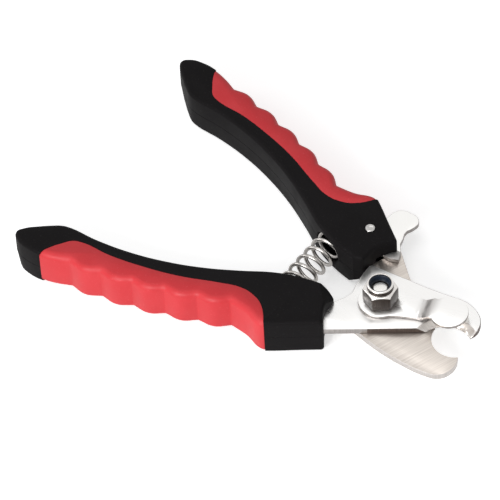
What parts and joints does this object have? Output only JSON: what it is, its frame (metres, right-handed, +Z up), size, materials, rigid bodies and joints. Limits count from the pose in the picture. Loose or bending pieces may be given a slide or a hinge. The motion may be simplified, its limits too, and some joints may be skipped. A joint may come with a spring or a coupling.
{
  "type": "pet nail clipper",
  "caption": "Scissor-type pet nail clipper with curved soft-grip handles, hooked crossing blades, nail guard, return spring and lock lever.",
  "frame": {"origin": "on the pivot axis, midway between the two blades", "axes": "+X out of the jaws along the line midway between the open handles, +Y towards the upper handle, +Z up along the pivot, nut side up"},
  "size_m": [0.1461, 0.0972, 0.0186],
  "materials": {
    "handle_plastic": "matt moulded",
    "grip_rubber": "soft satin rubber",
    "polished_steel": "polished stainless",
    "brushed_steel": "ground stainless",
    "guard_steel": "polished stainless",
    "bolt_steel": "bright plated",
    "nut_steel": "bright plated",
    "nylon": "dark blue nylon",
    "spring_steel": "drawn wire",
    "lever_steel": "satin stainless",
    "rivet_steel": "satin"
  },
  "bodies": {
    "lower_lever": {"lower_handle": "handle_plastic", "lower_grip": "grip_rubber", "upper_jaw_blade": "polished_steel", "pivot_bolt": "bolt_steel", "lock_nut": "nut_steel", "nut_nylon_ring": "nylon", "return_spring": "spring_steel"},
    "upper_lever": {"upper_handle": "handle_plastic", "upper_grip": "grip_rubber", "lower_jaw_blade": "brushed_steel", "lever_rivet": "rivet_steel"},
    "guard": {"nail_guard": "guard_steel"},
    "lock": {"lock_lever": "lever_steel"}
  },
  "joints": [
    {"name": "squeeze", "type": "hinge", "parent": "lower_lever", "child": "upper_lever", "pos_m": [0, 0, 0], "axis": [0, 0, 1], "range_deg": [0, 34], "stiffness_Nm_per_rad": 0.7, "springref_deg": -20.05, "deforming": ["return_spring"]},
    {"name": "guard_swing", "type": "hinge", "parent": "lower_lever", "child": "guard", "pos_m": [0, 0, 0], "axis": [0, 0, 1], "range_deg": [0, 60]},
    {"name": "lock_swing", "type": "hinge", "parent": "upper_lever", "child": "lock", "pos_m": [-0.018, 0.0199, 0], "axis": [0, 0, 1], "range_deg": [-20, 0]}
  ]
}
